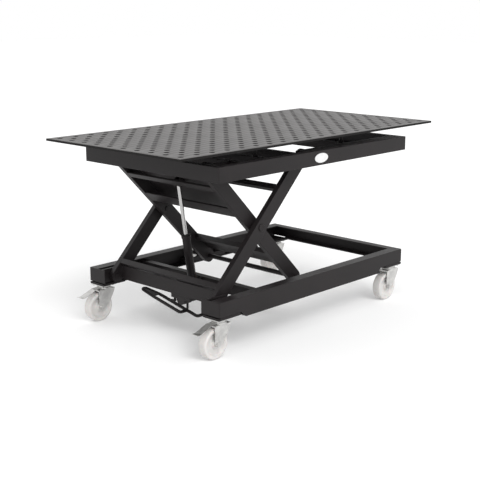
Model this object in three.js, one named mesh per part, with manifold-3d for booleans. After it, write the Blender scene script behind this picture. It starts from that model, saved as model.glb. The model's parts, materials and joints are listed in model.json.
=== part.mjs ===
// Mobile assembly table: a perforated steel top on a scissor lift, pumped up by foot,
// on four swivel casters. Millimetres, +Z up. The origin is on the floor under the
// middle of the table. +X runs along the table away from the foot pump, and the front
// side, which faces -Y, carries the badge. The lift stands at its photographed height.

import * as THREE from 'three';
import { mergeVertices } from 'three/addons/utils/BufferGeometryUtils.js';
import Module from 'manifold-3d';

const wasm = await Module();
wasm.setup();

// Table top
const TOP_LENGTH = 2000;
const TOP_WIDTH = 1000;
const TOP_THICKNESS = 12;
const HOLE_DIAMETER = 28;
const HOLE_PITCH = 100;
const HOLE_MARGIN = 50;
const HOLE_SIDES = 6;

// Frames: the upper and the lower one share a footprint
const FRAME_LENGTH = 1508;
const FRAME_WIDTH = 988;
const UPPER_HEIGHT = 76;
const UPPER_FLANGE = 45;
const LOWER_HEIGHT = 106;
const LOWER_FLANGE = 60;
const STEEL = 6;
const LOWER_BOTTOM = 186;
const NOTCH_HEIGHT = 30;
const NOTCH_PUMP_END = 161;
const NOTCH_FREE_END = 197;
const TOP_GAP = 55.53;

// Scissor legs: pitch is pivot to pivot, and the lift angle is the photographed one
const LEG_PITCH = 926;
const LEG_DEPTH = 75;
const LEG_THICKNESS = 30;
const LIFT_ANGLE = THREE.MathUtils.degToRad(45.5);
const FIXED_PIVOT_X = -667.5;
const OUTER_LEG_FACE = 391.6;
const LEG_SIDE_GAP = 17.4;
const LEG_TUBE = 30;
const PIVOT_PIN_RADIUS = 14;
const ROLLER_RADIUS = 30;
const ROLLER_WIDTH = 32;
const ROLLER_PLAY = 0.5;
const TRACK_HEIGHT = 28.5;
const ROLLER_AXLE_RADIUS = 13;

// Hydraulic cylinder and foot pump
const CYLINDER_FOOT_X = -450;
const CYLINDER_FOOT_Z = 200;
const ROD_PIN_ALONG_LEG = 169;
const BARREL_RADIUS = 22;
const BARREL_LENGTH = 313;
const ROD_RADIUS = 10;
const ROD_LENGTH = 322;
const EYE_RADIUS = 18;
const EYE_PIN_RADIUS = 8;
const PEDAL_BAR_RADIUS = 8.5;
const PEDAL_PIVOT_Y = -132;
const PEDAL_PIVOT_Z = 103;
const PEDAL_ANGLE = THREE.MathUtils.degToRad(12);

// Casters
const WHEEL_RADIUS = 80;
const WHEEL_WIDTH = 50;
const WHEEL_SIDES = 24;
const CASTER_X = 704;
const CASTER_Y = 443;
const CASTER_TRAIL = 42;

// Clearance between pieces that touch, how far shapes joined into one piece run into each
// other, and how far a cutting tool passes the piece it cuts
const GAP = 0.3;
const WELD = 1;
const CUT_MARGIN = 10;

// Pins: sides of a round one, how far it stands out of the last piece on it, and its head
const PIN_SIDES = 16;
const PIN_OVERHANG = 4;
const PIN_HEAD = 3;
const BAR_SIDES = 8;
const TURNED_SIDES = 20;
const SMALL_PIN_SIDES = 12;

// Levels worked out from the driving dimensions
const LOWER_TOP = LOWER_BOTTOM + LOWER_HEIGHT;
const NOTCH_BOTTOM = LOWER_BOTTOM + NOTCH_HEIGHT;
const TRACK_TOP = LOWER_BOTTOM + STEEL + TRACK_HEIGHT;
const LOW_PIVOT_Z = TRACK_TOP + ROLLER_RADIUS + ROLLER_PLAY;
const HIGH_PIVOT_Z = LOW_PIVOT_Z + LEG_PITCH * Math.sin(LIFT_ANGLE);
const UPPER_BOTTOM = HIGH_PIVOT_Z - UPPER_HEIGHT / 2;
const UPPER_TOP = HIGH_PIVOT_Z + UPPER_HEIGHT / 2;
const TOP_BOTTOM = UPPER_TOP + TOP_GAP;
const HALF_LENGTH = FRAME_LENGTH / 2;
const HALF_WIDTH = FRAME_WIDTH / 2;
const ROLLER_X = FIXED_PIVOT_X + LEG_PITCH * Math.cos(LIFT_ANGLE);
const OUTER_LEG_INSIDE = OUTER_LEG_FACE - LEG_THICKNESS;
const INNER_LEG_FACE = OUTER_LEG_INSIDE - LEG_SIDE_GAP;
const INNER_LEG_INSIDE = INNER_LEG_FACE - LEG_THICKNESS;
const WHEEL_AXLE_Z = WHEEL_RADIUS * Math.cos(Math.PI / WHEEL_SIDES);

const SIDES = [{ label: 'front', sign: -1 }, { label: 'rear', sign: 1 }];

const material = {
  frame: { color: 0x2b292a, roughness: 0.5, metalness: 0.3 },
  top: { color: 0x77726f, roughness: 0.55, metalness: 0.4 },
  zinc: { color: 0xc9c8c6, roughness: 0.35, metalness: 0.8 },
  chrome: { color: 0xe4e4e4, roughness: 0.12, metalness: 1 },
  nylon: { color: 0xe4e1dc, roughness: 0.5, metalness: 0 },
  badge: { color: 0xeeeeee, roughness: 0.4, metalness: 0 },
};

// Builders of plain shapes

function boxSpan(x0, x1, y0, y1, z0, z1) {
  const box = new THREE.BoxGeometry(x1 - x0, Math.abs(y1 - y0), z1 - z0);
  return box.translate((x0 + x1) / 2, (y0 + y1) / 2, (z0 + z1) / 2);
}

function outline(points) {
  return new THREE.Shape(points.map(([u, v]) => new THREE.Vector2(u, v)));
}

function circlePoints(u, v, radius, sides, turn = 0) {
  const points = [];
  for (let i = 0; i < sides; i += 1) {
    const angle = turn + (2 * Math.PI * i) / sides;
    points.push([u + radius * Math.cos(angle), v + radius * Math.sin(angle)]);
  }
  return points;
}

function extrude(shape, depth) {
  return new THREE.ExtrudeGeometry(shape, { depth, bevelEnabled: false, curveSegments: 8 });
}

// Prisms: an outline in the plane across the named axis, from the first to the second level

function prismX(shape, x0, x1) {
  const turn = new THREE.Matrix4().set(0, 0, 1, x0, 1, 0, 0, 0, 0, 1, 0, 0, 0, 0, 0, 1);
  return extrude(shape, x1 - x0).applyMatrix4(turn);
}

function prismY(shape, y0, y1) {
  const last = Math.max(y0, y1);
  const turn = new THREE.Matrix4().set(1, 0, 0, 0, 0, 0, -1, last, 0, 1, 0, 0, 0, 0, 0, 1);
  return extrude(shape, Math.abs(y1 - y0)).applyMatrix4(turn);
}

function prismZ(shape, z0, z1) {
  return extrude(shape, z1 - z0).translate(0, 0, z0);
}

function pinX(radius, x0, x1, y, z, sides = PIN_SIDES) {
  return prismX(outline(circlePoints(y, z, radius, sides)), x0, x1);
}

function pinY(radius, x, y0, y1, z, sides = PIN_SIDES) {
  return prismY(outline(circlePoints(x, z, radius, sides)), y0, y1);
}

function pinZ(radius, x, y, z0, z1, sides = PIN_SIDES) {
  return prismZ(outline(circlePoints(x, y, radius, sides)), z0, z1);
}

// A faceted hole in which a faceted pin of this radius can turn
function holeRadius(pinRadius, sides = PIN_SIDES) {
  return pinRadius / Math.cos(Math.PI / sides) + GAP;
}

// Joins and cuts

function solid(geometry) {
  const bare = geometry.clone();
  bare.deleteAttribute('normal');
  bare.deleteAttribute('uv');
  const merged = mergeVertices(bare, 1e-3);
  const mesh = new wasm.Mesh({
    numProp: 3,
    vertProperties: new Float32Array(merged.attributes.position.array),
    triVerts: new Uint32Array(merged.index.array),
  });
  return new wasm.Manifold(mesh);
}

function geometryOf(manifold) {
  const mesh = manifold.getMesh();
  const geometry = new THREE.BufferGeometry();
  geometry.setAttribute('position', new THREE.BufferAttribute(new Float32Array(mesh.vertProperties), 3));
  geometry.setIndex(new THREE.BufferAttribute(new Uint32Array(mesh.triVerts), 1));
  geometry.computeVertexNormals();
  return geometry;
}

function join(...pieces) {
  return geometryOf(pieces.map(solid).reduce((whole, piece) => whole.add(piece)));
}

function cut(body, ...tools) {
  return geometryOf(tools.map(solid).reduce((whole, tool) => whole.subtract(tool), solid(body)));
}

function addMesh(parent, name, geometry, look) {
  const mesh = new THREE.Mesh(geometry, new THREE.MeshStandardMaterial(look));
  mesh.name = name;
  parent.add(mesh);
  return mesh;
}

function addGroup(parent, x, y, z) {
  const group = new THREE.Group();
  group.position.set(x, y, z);
  parent.add(group);
  return group;
}

// A C section that opens towards the middle of the table
function channelOutline(sign, outer, flange, bottom, top, web, lip) {
  const inner = outer - flange;
  const wall = outer - web;
  return outline([
    [sign * outer, bottom], [sign * outer, top],
    [sign * inner, top], [sign * inner, top - lip],
    [sign * wall, top - lip], [sign * wall, bottom + lip],
    [sign * inner, bottom + lip], [sign * inner, bottom],
  ]);
}

// Cuts each corner of a flat path short by the bend, with one point in the middle of the curve
function bendCorners(points, bend) {
  const corners = points.map(([x, y]) => new THREE.Vector2(x, y));
  const path = [corners[0]];
  for (let i = 1; i < corners.length - 1; i += 1) {
    const corner = corners[i];
    const enter = corner.clone().add(corners[i - 1].clone().sub(corner).setLength(bend));
    const leave = corner.clone().add(corners[i + 1].clone().sub(corner).setLength(bend));
    const middle = enter.clone().add(leave).multiplyScalar(0.25).addScaledVector(corner, 0.5);
    path.push(enter, middle, leave);
  }
  path.push(corners[corners.length - 1]);
  return path;
}

// A faceted bar along a flat path, mitred at every corner so that its faces stay plane
function bentBar(points, radius, bend) {
  const path = bendCorners(points, bend);
  const sides = BAR_SIDES;
  const last = path.length - 1;
  const runs = path.slice(1).map((point, i) => point.clone().sub(path[i]).normalize());
  const positions = [];
  path.forEach((point, i) => {
    const before = runs[Math.max(i - 1, 0)];
    const after = runs[Math.min(i, last - 1)];
    const along = before.clone().add(after).normalize();
    const stretch = 1 / along.dot(before);
    for (let k = 0; k < sides; k += 1) {
      const angle = (2 * Math.PI * (k + 0.5)) / sides;
      const across = radius * Math.cos(angle) * stretch;
      positions.push(point.x - along.y * across, point.y + along.x * across, radius * Math.sin(angle));
    }
  });
  const index = [];
  for (let i = 0; i < last; i += 1) {
    for (let k = 0; k < sides; k += 1) {
      const next = (k + 1) % sides;
      const [a, b, c, d] = [i * sides + k, i * sides + next, (i + 1) * sides + next, (i + 1) * sides + k];
      index.push(a, b, c, a, c, d);
    }
  }
  for (let k = 1; k < sides - 1; k += 1) {
    index.push(0, k + 1, k);
    index.push(last * sides, last * sides + k, last * sides + k + 1);
  }
  const geometry = new THREE.BufferGeometry();
  geometry.setAttribute('position', new THREE.Float32BufferAttribute(positions, 3));
  geometry.setIndex(index);
  return geometry;
}

// Lower frame: two rails with notched ends, end members and a cross beam

const PAD_THICKNESS = 11;
const PAD_DROP = 3.5;
const PAD_TOP = NOTCH_BOTTOM - PAD_DROP;
const PAD_INSIDE = 382;
const PAD_LENGTH = 152;
const SPACER_INSET = 14;
const SPACER_OUTER_INSET = 2;
const END_RISE = 2;
const END_BOTTOM = NOTCH_BOTTOM + END_RISE;
const END_FLANGE = 50;
const RAIL_END = HALF_LENGTH - STEEL;
const LOWER_RAIL_INSIDE = HALF_WIDTH - LOWER_FLANGE;
const TRACK_X0 = -90;
const TRACK_X1 = 240;
const TRACK_INSIDE = 440;
const TRACK_OUTSIDE = 482;

function notchTool(end, length) {
  const inside = HALF_LENGTH - length;
  const outside = HALF_LENGTH + CUT_MARGIN;
  const under = LOWER_BOTTOM - CUT_MARGIN;
  const shape = outline([
    [end * outside, under], [end * (inside - NOTCH_HEIGHT - CUT_MARGIN), under],
    [end * inside, NOTCH_BOTTOM], [end * outside, NOTCH_BOTTOM],
  ]);
  return prismY(shape, -HALF_WIDTH - CUT_MARGIN, HALF_WIDTH + CUT_MARGIN);
}

// A caster pad is a plate under the notch, held on a smaller spacer
function casterPad(end, sign) {
  const x = [end * (HALF_LENGTH - PAD_LENGTH), end * HALF_LENGTH].sort((a, b) => a - b);
  const y = [sign * PAD_INSIDE, sign * HALF_WIDTH];
  const plate = boxSpan(x[0], x[1], y[0], y[1], PAD_TOP - PAD_THICKNESS, PAD_TOP);
  const spacer = boxSpan(
    x[0] + SPACER_INSET, x[1] - SPACER_INSET,
    y[0] + sign * SPACER_INSET, sign * (HALF_WIDTH - SPACER_OUTER_INSET),
    PAD_TOP - WELD, NOTCH_BOTTOM + WELD,
  );
  return join(plate, spacer);
}

function addLowerFrame(parent) {
  for (const { label, sign } of SIDES) {
    const section = channelOutline(
      sign, HALF_WIDTH, LOWER_FLANGE, LOWER_BOTTOM, LOWER_TOP, STEEL, STEEL,
    );
    const rail = cut(
      prismX(section, -RAIL_END + GAP, RAIL_END - GAP),
      notchTool(-1, NOTCH_PUMP_END), notchTool(1, NOTCH_FREE_END),
    );
    const track = boxSpan(
      TRACK_X0, TRACK_X1, sign * TRACK_INSIDE, sign * TRACK_OUTSIDE, LOWER_BOTTOM + STEEL - WELD, TRACK_TOP,
    );
    const whole = join(rail, track, casterPad(-1, sign), casterPad(1, sign));
    addMesh(parent, `lower_rail_${label}`, whole, material.frame);
  }
  addFreeEnd(parent);
  addPumpEnd(parent);
}

// The free end is one channel whose web closes the rails
function addFreeEnd(parent) {
  const flangeIn = HALF_LENGTH - END_FLANGE;
  const reach = LOWER_RAIL_INSIDE - GAP;
  const low = PAD_INSIDE - GAP;
  const web = boxSpan(RAIL_END, HALF_LENGTH, -HALF_WIDTH, HALF_WIDTH, END_BOTTOM, LOWER_TOP);
  const topLip = boxSpan(flangeIn, RAIL_END + WELD, -reach, reach, LOWER_TOP - STEEL, LOWER_TOP);
  const lowLip = boxSpan(flangeIn, RAIL_END + WELD, -low, low, END_BOTTOM, END_BOTTOM + STEEL);
  addMesh(parent, 'lower_end_beam', join(web, topLip, lowLip), material.frame);
}

const BRACKET_CLEARANCE = 2;
const CHEEK_THICKNESS = 12;
const BRACKET_INSIDE = OUTER_LEG_FACE + BRACKET_CLEARANCE;
const BRACKET_OUTSIDE = BRACKET_INSIDE + CHEEK_THICKNESS;
const CLOSING_INSIDE = 370;
const CHEEK_END_X = -616;
const END_PLATE_X = -638;
const END_PLATE_BOTTOM = 228;
const END_PLATE_TOP = 299.5;
const END_PLATE_CLEARANCE = 9;
const END_PLATE_REACH = OUTER_LEG_INSIDE - END_PLATE_CLEARANCE;
const STRINGER_WIDTH = 24;
const STRINGER_HEIGHT = 20;
const BEAM_X0 = -420;
const BEAM_X1 = -380;
const BEAM_BOTTOM = 214;
const BEAM_TOP = 273;

// At the pump end each rail is closed by an angled bracket that holds the lower leg pivot
function addPivotBracket(parent, label, sign) {
  const inside = sign * BRACKET_INSIDE;
  const outside = sign * BRACKET_OUTSIDE;
  const closing = boxSpan(
    -HALF_LENGTH, -RAIL_END, sign * CLOSING_INSIDE, sign * HALF_WIDTH, END_BOTTOM, LOWER_TOP,
  );
  const cheek = boxSpan(-RAIL_END - WELD, CHEEK_END_X, inside, outside, END_BOTTOM, LOWER_TOP);
  const pin = pinY(
    PIVOT_PIN_RADIUS, FIXED_PIVOT_X,
    sign * (BRACKET_OUTSIDE - WELD), sign * (OUTER_LEG_INSIDE - PIN_OVERHANG), LOW_PIVOT_Z,
  );
  addMesh(parent, `pivot_bracket_${label}`, join(closing, cheek, pin), material.frame);
}

// A plate set back between the legs carries the pump, on two stringers from the cross beam
function addPumpEnd(parent) {
  for (const { label, sign } of SIDES) {
    addPivotBracket(parent, label, sign);
  }
  const back = END_PLATE_X + STEEL / 2;
  const face = boxSpan(
    END_PLATE_X - STEEL / 2, back, -END_PLATE_REACH, END_PLATE_REACH, END_PLATE_BOTTOM, END_PLATE_TOP,
  );
  const stringers = SIDES.map(({ sign }) => boxSpan(
    back - WELD, BEAM_X0 - GAP, sign * (END_PLATE_REACH - STRINGER_WIDTH), sign * END_PLATE_REACH,
    END_PLATE_BOTTOM, END_PLATE_BOTTOM + STRINGER_HEIGHT,
  ));
  addMesh(parent, 'lower_end_plate', join(face, ...stringers), material.frame);
}

function addCrossBeam(parent) {
  const reach = HALF_WIDTH - STEEL - GAP;
  const beam = boxSpan(BEAM_X0, BEAM_X1, -reach, reach, BEAM_BOTTOM, BEAM_TOP);
  addMesh(parent, 'lower_cross_beam', beam, material.frame);
}

// Scissor: the outer legs turn on the lower brackets, the inner legs on the outer ones.
// Inside each turned group, x runs along the leg from its fixed pivot and z across it.

function legOutline(holes) {
  const half = LEG_DEPTH / 2;
  const shape = new THREE.Shape();
  shape.absarc(0, 0, half, Math.PI / 2, (3 * Math.PI) / 2, false);
  shape.absarc(LEG_PITCH, 0, half, -Math.PI / 2, Math.PI / 2, false);
  for (const [along, radius] of holes) {
    shape.holes.push(outline(circlePoints(along, 0, radius, PIN_SIDES)));
  }
  return shape;
}

// A bar across the legs, its outer face level with the lower face of the legs or the upper one
function legBar({ from, to, thickness }, faceSign, reach) {
  const face = faceSign * LEG_DEPTH / 2;
  const [low, high] = [face, face - faceSign * thickness].sort((a, b) => a - b);
  return boxSpan(from, to, -reach, reach, low, high);
}

const CENTRE = LEG_PITCH / 2;
const OUTER_TUBES = {
  lower: { from: 60, to: 60 + LEG_TUBE, thickness: LEG_TUBE },
  upper: { from: 680, to: 680 + LEG_TUBE, thickness: LEG_TUBE },
};
const INNER_TUBES = {
  upper: { from: 99, to: 134, thickness: 12 },
  lower: { from: 272, to: 342, thickness: 10 },
};
const GUIDE_INSIDE = 398;
const GUIDE_LIP = UPPER_HEIGHT / 2 - ROLLER_RADIUS - ROLLER_PLAY;
const UPPER_ROLLER_INSET = 6;
const LOWER_ROLLER_INSET = 8;
const UPPER_ROLLER_Y = GUIDE_INSIDE + UPPER_ROLLER_INSET;
const LOWER_ROLLER_Y = LOWER_RAIL_INSIDE + LOWER_ROLLER_INSET;
const ROLLER_SIDES = 24;

function addOuterLegs(parent) {
  const legs = addGroup(parent, FIXED_PIVOT_X, 0, LOW_PIVOT_Z);
  legs.rotation.y = -LIFT_ANGLE;
  for (const { label, sign } of SIDES) {
    const leg = prismY(
      legOutline([[0, holeRadius(PIVOT_PIN_RADIUS)]]), sign * OUTER_LEG_INSIDE, sign * OUTER_LEG_FACE,
    );
    const centrePin = pinY(
      PIVOT_PIN_RADIUS, CENTRE,
      sign * (OUTER_LEG_FACE + PIN_HEAD), sign * (INNER_LEG_INSIDE - PIN_OVERHANG), 0,
    );
    const axle = pinY(
      ROLLER_AXLE_RADIUS, LEG_PITCH,
      sign * OUTER_LEG_INSIDE, sign * (UPPER_ROLLER_Y + ROLLER_WIDTH + PIN_HEAD), 0,
    );
    addMesh(legs, `outer_leg_${label}`, join(leg, centrePin, axle), material.frame);
  }
  const reach = OUTER_LEG_INSIDE - GAP;
  for (const [place, bar] of Object.entries(OUTER_TUBES)) {
    addMesh(legs, `outer_leg_tube_${place}`, legBar(bar, 1, reach), material.frame);
  }
}

const WEB_PLATE_THICKNESS = 6;
const WEB_PLATE_FACE = 34;
const WEB_PLATE_START = 140;
const WEB_PLATE_END = 462;
const FOOT_TUBE = { from: 750, to: 780, thickness: 30 };
const FOOT_PLATE = { from: 779, to: 890, thickness: 6 };
const LUG_THICKNESS = 8;
const LUG_INSIDE = 13;
const LUG_HALF_WIDTH = 20;

function addInnerLegs(parent) {
  const legs = addGroup(parent, FIXED_PIVOT_X, 0, HIGH_PIVOT_Z);
  legs.rotation.y = LIFT_ANGLE;
  const pinHole = holeRadius(PIVOT_PIN_RADIUS);
  const axleHole = ROLLER_AXLE_RADIUS + GAP;
  for (const { label, sign } of SIDES) {
    const shape = legOutline([[0, pinHole], [CENTRE, pinHole], [LEG_PITCH, axleHole]]);
    const leg = prismY(shape, sign * INNER_LEG_INSIDE, sign * INNER_LEG_FACE);
    addMesh(legs, `inner_leg_${label}`, leg, material.frame);
  }
  const reach = INNER_LEG_INSIDE - GAP;
  for (const [place, bar] of Object.entries(INNER_TUBES)) {
    addMesh(legs, `inner_leg_tube_${place}`, legBar(bar, -1, reach), material.frame);
  }
  const foot = join(legBar(FOOT_TUBE, 1, reach), legBar(FOOT_PLATE, 1, reach));
  addMesh(legs, 'inner_leg_foot_plate', foot, material.frame);
  const webPlate = boxSpan(
    WEB_PLATE_START, WEB_PLATE_END, -reach, reach, WEB_PLATE_FACE - WEB_PLATE_THICKNESS, WEB_PLATE_FACE,
  );
  addMesh(legs, 'inner_leg_web_plate', webPlate, material.frame);
  addMesh(legs, 'rod_lug', rodLug(), material.frame);
  const axleEnd = LOWER_ROLLER_Y + ROLLER_WIDTH + PIN_HEAD;
  const axle = pinY(ROLLER_AXLE_RADIUS, LEG_PITCH, -axleEnd, axleEnd, 0);
  addMesh(legs, 'lower_roller_axle', axle, material.frame);
}

// Two ears under the web plate, with the pin that the piston rod hangs on
function rodLug() {
  const face = WEB_PLATE_FACE - WEB_PLATE_THICKNESS - GAP;
  const outside = LUG_INSIDE + LUG_THICKNESS;
  const ear = new THREE.Shape();
  ear.absarc(ROD_PIN_ALONG_LEG, 0, LUG_HALF_WIDTH, Math.PI, 2 * Math.PI, false);
  ear.lineTo(ROD_PIN_ALONG_LEG + LUG_HALF_WIDTH, face);
  ear.lineTo(ROD_PIN_ALONG_LEG - LUG_HALF_WIDTH, face);
  const pinEnd = outside + PIN_HEAD;
  const pin = pinY(EYE_PIN_RADIUS, ROD_PIN_ALONG_LEG, -pinEnd, pinEnd, 0);
  return join(prismY(ear, -outside, -LUG_INSIDE), prismY(ear, LUG_INSIDE, outside), pin);
}

function addRollers(parent) {
  const bore = holeRadius(ROLLER_AXLE_RADIUS);
  for (const { label, sign } of SIDES) {
    const places = [
      ['lower', LOW_PIVOT_Z, LOWER_ROLLER_Y],
      ['upper', HIGH_PIVOT_Z, UPPER_ROLLER_Y],
    ];
    for (const [level, z, y] of places) {
      const rim = outline(circlePoints(0, 0, ROLLER_RADIUS, ROLLER_SIDES));
      rim.holes.push(outline(circlePoints(0, 0, bore, PIN_SIDES)));
      const roller = prismY(rim, sign * y, sign * (y + ROLLER_WIDTH));
      addMesh(addGroup(parent, ROLLER_X, 0, z), `${level}_roller_${label}`, roller, material.zinc);
    }
  }
}

// Deck: the upper frame, its roller guides, the perforated top and the badge

const UPPER_RAIL_INSIDE = HALF_WIDTH - UPPER_FLANGE;
const CROSS_WIDTH = 40;
const CROSS_HEIGHT = 44;
const CROSS_X = { pump: -520, left: -345, middle: -130, right: 345 };
const CROSS_TOP = UPPER_TOP - STEEL - GAP;
const GUIDE_START = -95;
const POST_Y = 350;
const POST_STUD_RADIUS = 8;
const POST_HEAD_RADIUS = 15;
const POST_HEAD_HEIGHT = 26;

function addUpperFrame(parent) {
  for (const { label, sign } of SIDES) {
    const section = channelOutline(
      sign, HALF_WIDTH, UPPER_FLANGE, UPPER_BOTTOM, UPPER_TOP, STEEL, STEEL,
    );
    const rail = prismX(section, -RAIL_END + GAP, RAIL_END - GAP);
    addMesh(parent, `upper_rail_${label}`, rail, material.frame);
    const guide = channelOutline(
      sign, UPPER_RAIL_INSIDE - GAP, UPPER_RAIL_INSIDE - GAP - GUIDE_INSIDE,
      UPPER_BOTTOM, UPPER_TOP, STEEL, GUIDE_LIP,
    );
    const guideEnd = HALF_LENGTH - UPPER_FLANGE - GAP;
    addMesh(parent, `roller_guide_${label}`, prismX(guide, GUIDE_START, guideEnd), material.frame);
  }
  addUpperEnd(parent, 'upper_end_beam_pump', -1);
  addUpperEnd(parent, 'upper_end_beam_free', 1);
}

function addUpperEnd(parent, name, end) {
  const span = (a, b) => [end * a, end * b].sort((p, q) => p - q);
  const [w0, w1] = span(RAIL_END, HALF_LENGTH);
  const [f0, f1] = span(HALF_LENGTH - UPPER_FLANGE, RAIL_END + WELD);
  const reach = UPPER_RAIL_INSIDE - GAP;
  const web = boxSpan(w0, w1, -HALF_WIDTH, HALF_WIDTH, UPPER_BOTTOM, UPPER_TOP);
  const topLip = boxSpan(f0, f1, -reach, reach, UPPER_TOP - STEEL, UPPER_TOP);
  const lowLip = boxSpan(f0, f1, -reach, reach, UPPER_BOTTOM, UPPER_BOTTOM + STEEL);
  addMesh(parent, name, join(web, topLip, lowLip), material.frame);
}

// A levelling post is a stud with a wider head under the top
function levellingPost(x, y) {
  const head = TOP_BOTTOM - GAP;
  const collar = head - POST_HEAD_HEIGHT;
  const stud = pinZ(POST_STUD_RADIUS, x, y, CROSS_TOP - WELD, collar + WELD, SMALL_PIN_SIDES);
  const cap = pinZ(POST_HEAD_RADIUS, x, y, collar, head, SMALL_PIN_SIDES);
  return join(stud, cap);
}

function addCrossMembers(parent) {
  const wide = HALF_WIDTH - STEEL - GAP;
  const betweenGuides = GUIDE_INSIDE - GAP;
  const members = [
    { place: 'pump', reach: wide, posts: [] },
    { place: 'left', reach: wide, posts: [-POST_Y, 0, POST_Y] },
    { place: 'middle', reach: wide, posts: [] },
    { place: 'right', reach: betweenGuides, posts: [-POST_Y, 0, POST_Y] },
  ];
  for (const { place, reach, posts } of members) {
    const x = CROSS_X[place];
    const half = CROSS_WIDTH / 2;
    const bar = boxSpan(x - half, x + half, -reach, reach, CROSS_TOP - CROSS_HEIGHT, CROSS_TOP);
    const studs = posts.map((y) => levellingPost(x, y));
    addMesh(parent, `upper_cross_${place}`, posts.length ? join(bar, ...studs) : bar, material.frame);
  }
}

const DECK_BRACKET_CLEARANCE = 6;
const DECK_BRACKET_INSIDE = INNER_LEG_FACE + DECK_BRACKET_CLEARANCE;
const DECK_BRACKET_THICKNESS = 10;

// Plates between the pump end and the first cross member hold the inner legs' upper pivot
function addDeckBrackets(parent) {
  for (const { label, sign } of SIDES) {
    const outside = DECK_BRACKET_INSIDE + DECK_BRACKET_THICKNESS;
    const plate = boxSpan(
      -RAIL_END + GAP, CROSS_X.pump - CROSS_WIDTH / 2 - GAP, sign * DECK_BRACKET_INSIDE, sign * outside,
      UPPER_BOTTOM + STEEL + GAP, UPPER_TOP - STEEL - GAP,
    );
    const pin = pinY(
      PIVOT_PIN_RADIUS, FIXED_PIVOT_X,
      sign * (outside - WELD), sign * (INNER_LEG_INSIDE - PIN_OVERHANG), HIGH_PIVOT_Z,
    );
    addMesh(parent, `deck_bracket_${label}`, join(plate, pin), material.frame);
  }
}

// The holes stand on a square pitch, with one more in the middle of every four
function addTop(parent) {
  const x1 = TOP_LENGTH / 2;
  const y1 = TOP_WIDTH / 2;
  const sheet = outline([[-x1, -y1], [x1, -y1], [x1, y1], [-x1, y1]]);
  const step = HOLE_PITCH / 2;
  const columns = (TOP_LENGTH - 2 * HOLE_MARGIN) / step;
  const rows = (TOP_WIDTH - 2 * HOLE_MARGIN) / step;
  for (let i = 0; i <= columns; i += 1) {
    for (let j = i % 2; j <= rows; j += 2) {
      const x = HOLE_MARGIN - x1 + i * step;
      const y = HOLE_MARGIN - y1 + j * step;
      sheet.holes.push(outline(circlePoints(x, y, HOLE_DIAMETER / 2, HOLE_SIDES)));
    }
  }
  addMesh(parent, 'table_top', prismZ(sheet, TOP_BOTTOM, TOP_BOTTOM + TOP_THICKNESS), material.top);
}

const BADGE_LENGTH = 105;
const BADGE_HEIGHT = 50;
const BADGE_THICKNESS = 2;

function addBadge(parent) {
  const oval = new THREE.Shape();
  oval.absellipse(0, HIGH_PIVOT_Z, BADGE_LENGTH / 2, BADGE_HEIGHT / 2, 0, 2 * Math.PI);
  const face = -HALF_WIDTH - GAP;
  addMesh(parent, 'badge', prismY(oval, face, face - BADGE_THICKNESS), material.badge);
}

// Hydraulic cylinder: the barrel stands on the cross beam, the rod hangs on the inner legs

const rodPin = new THREE.Vector2(
  FIXED_PIVOT_X + ROD_PIN_ALONG_LEG * Math.cos(LIFT_ANGLE),
  HIGH_PIVOT_Z - ROD_PIN_ALONG_LEG * Math.sin(LIFT_ANGLE),
);
const cylinderLean = Math.atan2(rodPin.x - CYLINDER_FOOT_X, rodPin.y - CYLINDER_FOOT_Z);
const FOOT_EYE_RADIUS = 20;
const FOOT_EAR_CLEARANCE = 2;
const FOOT_EAR_INSIDE = BARREL_RADIUS + FOOT_EAR_CLEARANCE;
const FOOT_EAR_THICKNESS = 8;
const FOOT_EAR_HEEL = 14;
const FOOT_EAR_ROUND = [[6, -22], [-14, -18], [-22, 0], [-16, 22]];
const EYE_PLAY = 1;
const EYE_INSET = 8;
const BARREL_FLOOR = 24;
const GLAND_RADIUS = 25;
const GLAND_HEIGHT = 16;
const BORE_RADIUS = 17;
const GLAND_BORE_RADIUS = 15;
const PISTON_RADIUS = 12;
const PISTON_LENGTH = 12;

// A turned piece: its profile is pairs of radius and height, round the z axis
function turned(profile, sides) {
  const points = profile.map(([radius, height]) => new THREE.Vector2(radius, height));
  return new THREE.LatheGeometry(points, sides).rotateX(Math.PI / 2);
}

// Two ears on the cross beam, rounded below the pin that the barrel stands on
function addCylinderFoot(parent) {
  const ear = outline([
    [BEAM_X0 - GAP, BEAM_TOP], [BEAM_X0 - GAP, CYLINDER_FOOT_Z - FOOT_EAR_HEEL],
    ...FOOT_EAR_ROUND.map(([x, z]) => [CYLINDER_FOOT_X + x, CYLINDER_FOOT_Z + z]),
  ]);
  const outside = FOOT_EAR_INSIDE + FOOT_EAR_THICKNESS;
  const ears = SIDES.map(({ sign }) => prismY(ear, sign * FOOT_EAR_INSIDE, sign * outside));
  const pinEnd = outside + PIN_HEAD;
  const pin = pinY(EYE_PIN_RADIUS, CYLINDER_FOOT_X, -pinEnd, pinEnd, CYLINDER_FOOT_Z);
  addMesh(parent, 'cylinder_foot', join(...ears, pin), material.frame);
}

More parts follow.
